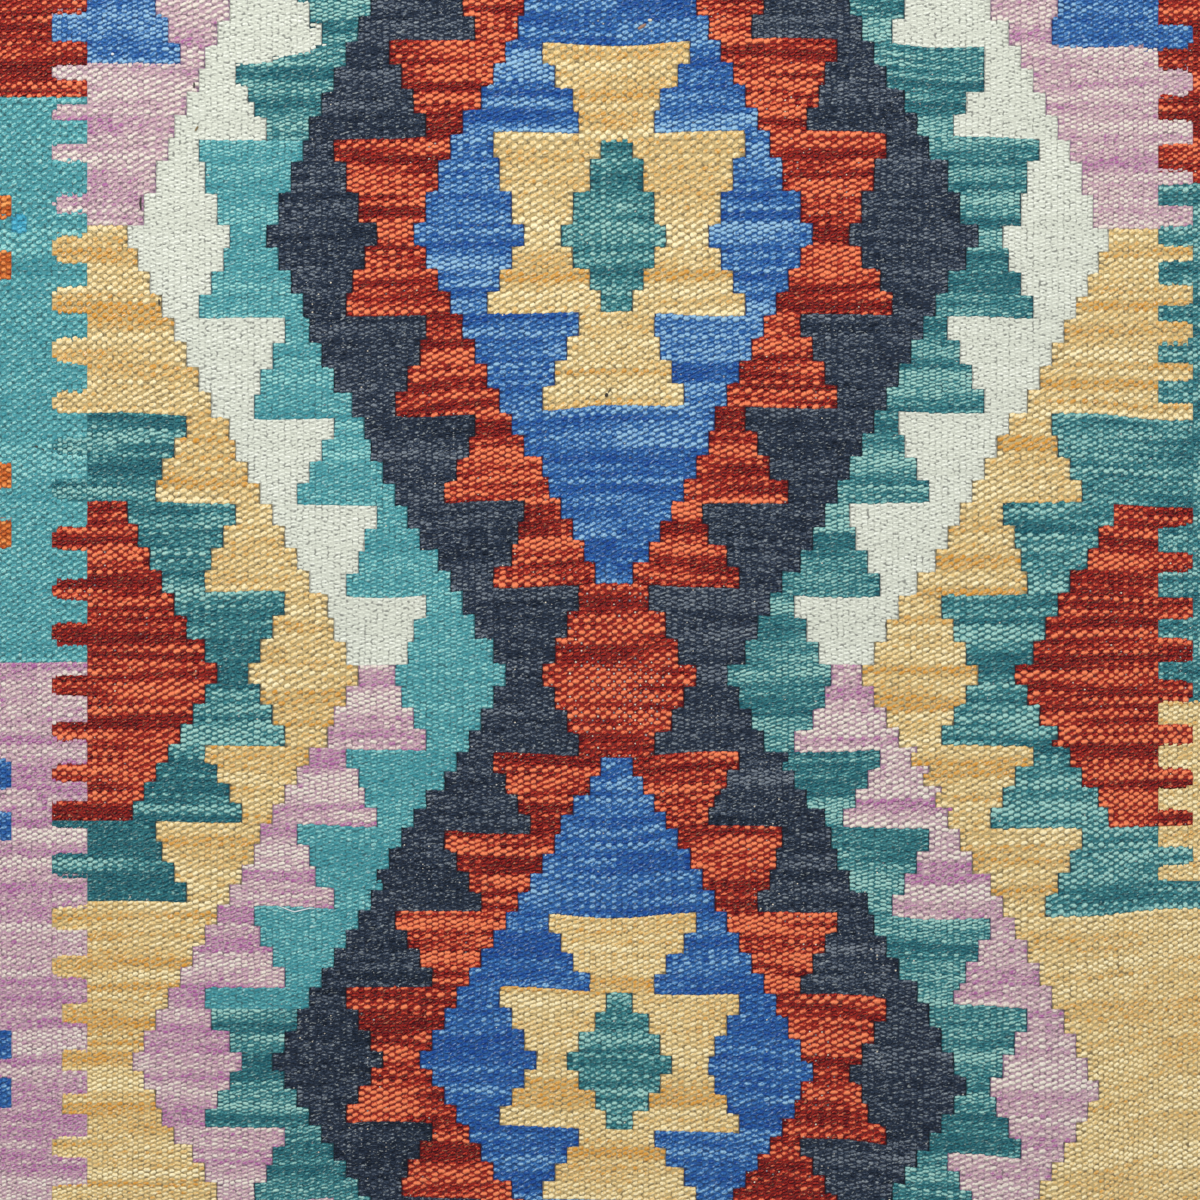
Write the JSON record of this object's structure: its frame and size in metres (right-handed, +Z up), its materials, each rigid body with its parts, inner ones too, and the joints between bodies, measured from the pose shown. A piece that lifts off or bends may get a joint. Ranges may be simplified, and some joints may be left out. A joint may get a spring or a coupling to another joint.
{
  "type": "kilim rug, cut length",
  "caption": "Flat cut length of weft-faced tapestry-woven wool kilim with stepped, hooked diamonds, plain cut edges and no fringe.",
  "frame": {"origin": "middle of the underside, on the surface the cloth rests on", "axes": "+Z up out of the face; Y along the warps, the picture's up and down, with +Y at the picture's top; X across the warps, with +X at the picture's right"},
  "size_m": [0.7, 0.712, 0.003],
  "materials": {
    "wool": "matt dyed wool, weft-faced plain weave"
  },
  "bodies": {
    "root": {"woven_panel": "wool"}
  },
  "joints": []
}
